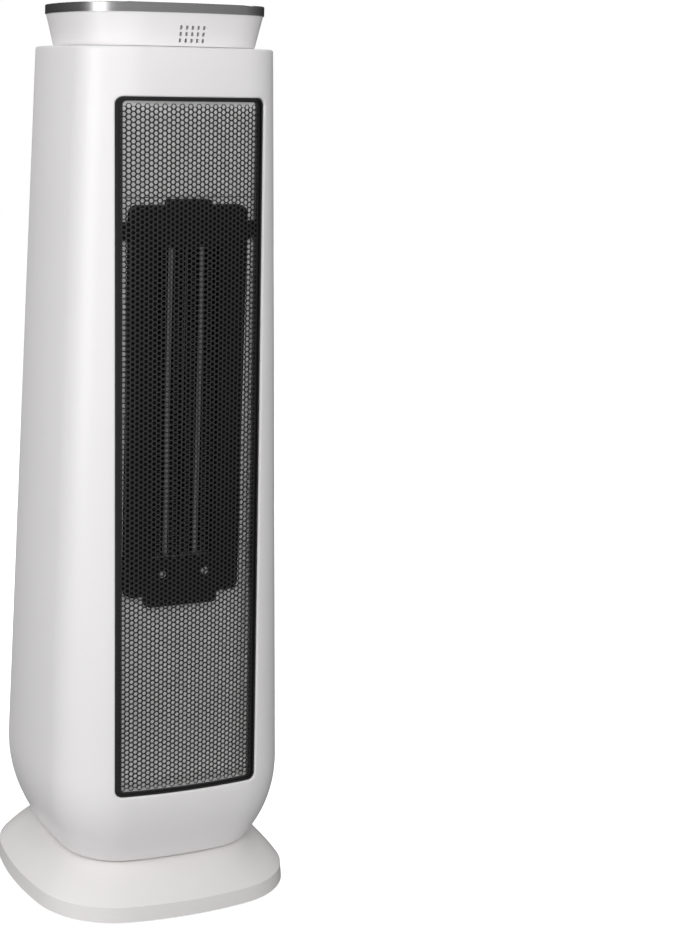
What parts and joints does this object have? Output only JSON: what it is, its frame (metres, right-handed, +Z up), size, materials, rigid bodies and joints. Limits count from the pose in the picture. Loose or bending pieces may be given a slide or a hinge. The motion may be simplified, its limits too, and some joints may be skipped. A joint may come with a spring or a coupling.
{
  "type": "tower space heater",
  "caption": "Tall tapering tower heater: perforated front guard over a black heater module, flared head with a metal rim, swinging on a rounded square base.",
  "frame": {"origin": "on the floor under the middle of the base", "axes": "+Z up along the swing axis, front and its air opening towards -Y, +X to the right seen from the front"},
  "size_m": [0.186, 0.186, 0.59],
  "materials": {
    "base_white": "satin moulded",
    "white_plastic": "satin moulded",
    "head_white": "satin moulded",
    "black_plastic": "fine texture",
    "module_black": "matt heat-proof",
    "guard_black": "powder coated",
    "grey_plastic": "as moulded",
    "liner_pale": "as moulded",
    "gloss_black": "gloss",
    "panel_black": "high gloss",
    "key_black": "satin",
    "digit_pane": "smoked",
    "rubber": "matt",
    "plated_steel": "zinc plated",
    "bright_screw": "bright",
    "trim_metal": "brushed",
    "aluminium": "mill",
    "ceramic": null,
    "bronze": "sintered",
    "coil_wrap": "tape",
    "filter_net": "nylon net",
    "board_green": "solder mask"
  },
  "bodies": {
    "base": {"base_cover": "base_white", "base_plate": "black_plastic", "rubber_feet": "rubber", "ballast_plate": "plated_steel", "base_screws": "plated_steel", "cord_bush": "rubber", "tilt_sensor": "black_plastic", "pivot_hub": "grey_plastic", "slip_washer": "grey_plastic", "swing_gear": "grey_plastic", "gear_nut": "plated_steel"},
    "swing_pinion": {"swing_pinion": "grey_plastic"},
    "fan": {"fan_wheel": "aluminium", "fan_shaft": "plated_steel", "motor_rotor": "plated_steel"},
    "mains_rocker": {"mains_rocker": "gloss_black"},
    "filter": {"filter_cover": "white_plastic", "dust_filter": "filter_net"},
    "key_power": {"key_power": "key_black"},
    "key_plus": {"key_plus": "key_black"},
    "key_minus": {"key_minus": "key_black"},
    "key_timer": {"key_timer": "key_black"},
    "key_mode": {"key_mode": "key_black"},
    "key_swing": {"key_swing": "key_black"},
    "tower": {"turntable": "grey_plastic", "swing_motor": "plated_steel", "front_shell": "white_plastic", "rear_shell": "white_plastic", "case_screws": "plated_steel", "hand_hold": "grey_plastic", "grille_bezel": "black_plastic", "guard_mesh": "guard_black", "liner_upper": "liner_pale", "liner_lower": "liner_pale", "heater_housing": "module_black", "heater_screws": "bright_screw", "heater_tubes": "aluminium", "ceramic_stones": "ceramic", "electrode_plates": "aluminium", "heater_fins": "aluminium", "element_caps": "grey_plastic", "thermal_cutout": "plated_steel", "fan_scroll": "plated_steel", "fan_tongue": "plated_steel", "duct_floor": "plated_steel", "duct_roof": "plated_steel", "shaft_bush": "bronze", "fan_stator": "plated_steel", "motor_coil": "coil_wrap", "motor_brackets": "plated_steel", "switch_housing": "black_plastic", "power_board": "board_green", "board_parts": "black_plastic", "head_cup": "head_white", "trim_ring": "trim_metal", "control_panel": "panel_black", "digit_window": "digit_pane", "display_board": "board_green", "digit_module": "black_plastic", "key_switches": "black_plastic"}
  },
  "joints": [
    {"name": "tower_swing", "type": "hinge", "parent": "base", "child": "tower", "pos_m": [0, 0, 0.0339], "axis": [0, 0, 1], "range_deg": [-35, 35]},
    {"name": "pinion_spin", "type": "hinge", "parent": "tower", "child": "swing_pinion", "pos_m": [0, 0.0392, 0.047], "axis": [0, 0, 1], "range_deg": [-110, 110]},
    {"name": "fan_spin", "type": "hinge", "parent": "tower", "child": "fan", "pos_m": [0, 0.014, 0.34], "axis": [0, 0, 1], "continuous": true},
    {"name": "rocker_tilt", "type": "hinge", "parent": "tower", "child": "mains_rocker", "pos_m": [0, 0.07926, 0.128], "axis": [1, 0, 0], "range_deg": [0, 18]},
    {"name": "filter_pull", "type": "slide", "parent": "tower", "child": "filter", "axis": [0, 1, 0], "range_m": [0, 0.03]},
    {"name": "press_power", "type": "slide", "parent": "tower", "child": "key_power", "axis": [0, 0, -1], "range_m": [0, 0.0008], "stiffness_N_per_m": 700},
    {"name": "press_plus", "type": "slide", "parent": "tower", "child": "key_plus", "axis": [0, 0, -1], "range_m": [0, 0.0008], "stiffness_N_per_m": 700},
    {"name": "press_minus", "type": "slide", "parent": "tower", "child": "key_minus", "axis": [0, 0, -1], "range_m": [0, 0.0008], "stiffness_N_per_m": 700},
    {"name": "press_timer", "type": "slide", "parent": "tower", "child": "key_timer", "axis": [0, 0, -1], "range_m": [0, 0.0008], "stiffness_N_per_m": 700},
    {"name": "press_mode", "type": "slide", "parent": "tower", "child": "key_mode", "axis": [0, 0, -1], "range_m": [0, 0.0008], "stiffness_N_per_m": 700},
    {"name": "press_swing", "type": "slide", "parent": "tower", "child": "key_swing", "axis": [0, 0, -1], "range_m": [0, 0.0008], "stiffness_N_per_m": 700}
  ],
  "couplings": [
    {"joint": "pinion_spin", "follows": "tower_swing", "ratio": 3}
  ]
}
